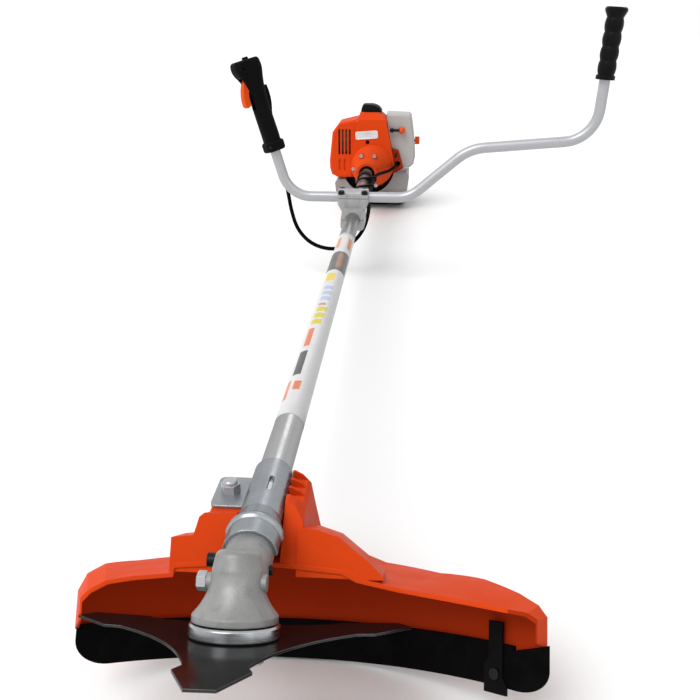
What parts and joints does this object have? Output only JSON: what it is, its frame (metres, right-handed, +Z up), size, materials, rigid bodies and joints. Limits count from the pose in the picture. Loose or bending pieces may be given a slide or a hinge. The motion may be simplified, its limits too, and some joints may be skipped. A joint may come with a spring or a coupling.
{
  "type": "string trimmer",
  "caption": "Petrol brush cutter with a straight shaft, bullhorn handlebar, bevel gear head, toothed metal blade under a deflector guard, and a rear engine on a stand.",
  "frame": {"origin": "on the ground under the middle of the engine's stand", "axes": "+Z up, +Y back along the shaft towards the engine, so the cutter points along -Y, +X to the side of the long handlebar arm"},
  "size_m": [0.6509, 1.8397, 0.467],
  "materials": {
    "cast_alloy": "matte cast",
    "tube_alloy": "satin anodised",
    "bar_alloy": "satin",
    "clamp_alloy": "cast, satin",
    "steel": "ground",
    "zinc_sheet": "bright zinc",
    "blade_steel": "semi-gloss",
    "black_screw": "blackened",
    "orange_shell": "moulded gloss",
    "orange_cast": "gloss paint",
    "orange_small": "moulded",
    "red_guide": "moulded",
    "black_plastic": "fine grain",
    "black_rubber": "matt",
    "filter_white": "fine grain",
    "tank_white": "translucent",
    "muffler_steel": "heat tinted",
    "engine_alloy": "cast",
    "nylon": "moulded"
  },
  "bodies": {
    "frame": {"gear_case": "cast_alloy", "head_screws": "black_screw", "head_bearings": "steel", "deflector_guard": "orange_shell", "guard_skirt": "black_rubber", "line_knife": "black_screw", "guard_bracket": "zinc_sheet", "guard_fasteners": "zinc_sheet", "shaft_tube": "tube_alloy", "shaft_bushes": "nylon", "handlebar": "bar_alloy", "clamp_base": "clamp_alloy", "clamp_body": "clamp_alloy", "clamp_cap": "clamp_alloy", "clamp_bolts": "black_screw", "rubber_grip": "black_rubber", "handle_inner": "black_plastic", "handle_outer": "black_plastic", "handle_fixings": "black_screw", "throttle_cable": "black_rubber", "cable_clips": "black_plastic", "harness_hanger": "black_screw", "clutch_housing": "orange_cast", "shaft_damper": "black_rubber", "engine_bearings": "steel", "engine_shroud": "orange_shell", "engine_block": "engine_alloy", "engine_screws": "black_screw", "spark_plug": "steel", "top_cover": "black_plastic", "muffler": "muffler_steel", "muffler_cover": "orange_shell", "carburettor": "engine_alloy", "filter_cover": "filter_white", "air_guide": "red_guide", "fuel_tank": "tank_white", "tank_cushion": "black_rubber", "tank_stand": "black_plastic", "starter_housing": "black_plastic", "starter_rope": "nylon"},
    "cutter": {"output_spindle": "steel", "driven_gear": "steel", "blade_adapter": "steel", "cutting_blade": "blade_steel", "lower_flange": "steel", "glide_cup": "steel", "blade_nut": "steel"},
    "drive": {"pinion_gear": "steel", "drive_shaft": "steel", "clutch_drum": "steel"},
    "crank": {"crankshaft": "steel", "clutch_shoes": "steel", "flywheel_fan": "engine_alloy"},
    "trigger": {"throttle_trigger": "orange_small"},
    "lockout": {"lockout_lever": "black_plastic"},
    "switch": {"stop_switch": "orange_small"},
    "choke": {"choke_lever": "orange_small"},
    "pull": {"starter_grip": "black_rubber"},
    "cap": {"fuel_cap": "black_plastic"},
    "knob": {"filter_knob": "orange_small"}
  },
  "joints": [
    {"name": "blade_spin", "type": "hinge", "parent": "frame", "child": "cutter", "pos_m": [0, -1.67662, 0.15444], "axis": [0, 0.5301, 0.848], "continuous": true},
    {"name": "drive_spin", "type": "hinge", "parent": "frame", "child": "drive", "pos_m": [0, -1.67662, 0.15444], "axis": [0, 0.9994, -0.0351], "continuous": true},
    {"name": "crank_spin", "type": "hinge", "parent": "frame", "child": "crank", "pos_m": [0, -0.0776, 0.09834], "axis": [0, 0.9994, -0.0351], "continuous": true},
    {"name": "throttle_pull", "type": "hinge", "parent": "frame", "child": "trigger", "pos_m": [-0.18082, -0.61056, 0.34925], "axis": [0.6157, -0.7591, 0.2115], "range_deg": [0, 16], "stiffness_Nm_per_rad": 0.3, "springref_deg": -14.32},
    {"name": "lockout_press", "type": "hinge", "parent": "frame", "child": "lockout", "pos_m": [-0.14817, -0.59892, 0.29596], "axis": [0.6157, -0.7591, 0.2115], "range_deg": [0, 8], "stiffness_Nm_per_rad": 0.2, "springref_deg": -11.46},
    {"name": "stop_slide", "type": "slide", "parent": "frame", "child": "switch", "axis": [-0.7337, -0.6501, -0.1975], "range_m": [0, 0.006]},
    {"name": "choke_turn", "type": "hinge", "parent": "frame", "child": "choke", "pos_m": [0.054, -0.0995, 0.18716], "axis": [0, -0.9994, 0.0351], "range_deg": [0, 60]},
    {"name": "starter_pull", "type": "slide", "parent": "frame", "child": "pull", "axis": [0, 0.0351, 0.9994], "range_m": [0, 0.6], "stiffness_N_per_m": 8, "springref_m": -0.4, "deforming": ["starter_rope"]},
    {"name": "cap_turn", "type": "hinge", "parent": "frame", "child": "cap", "pos_m": [0.058, 0.01866, 0.04694], "axis": [0, 0.9994, -0.0351], "range_deg": [0, 270]},
    {"name": "knob_turn", "type": "hinge", "parent": "frame", "child": "knob", "pos_m": [0.1075, -0.05351, 0.15754], "axis": [1, 0, 0], "range_deg": [0, 360]}
  ],
  "couplings": [
    {"joint": "drive_spin", "follows": "blade_spin", "ratio": -1.3571}
  ]
}
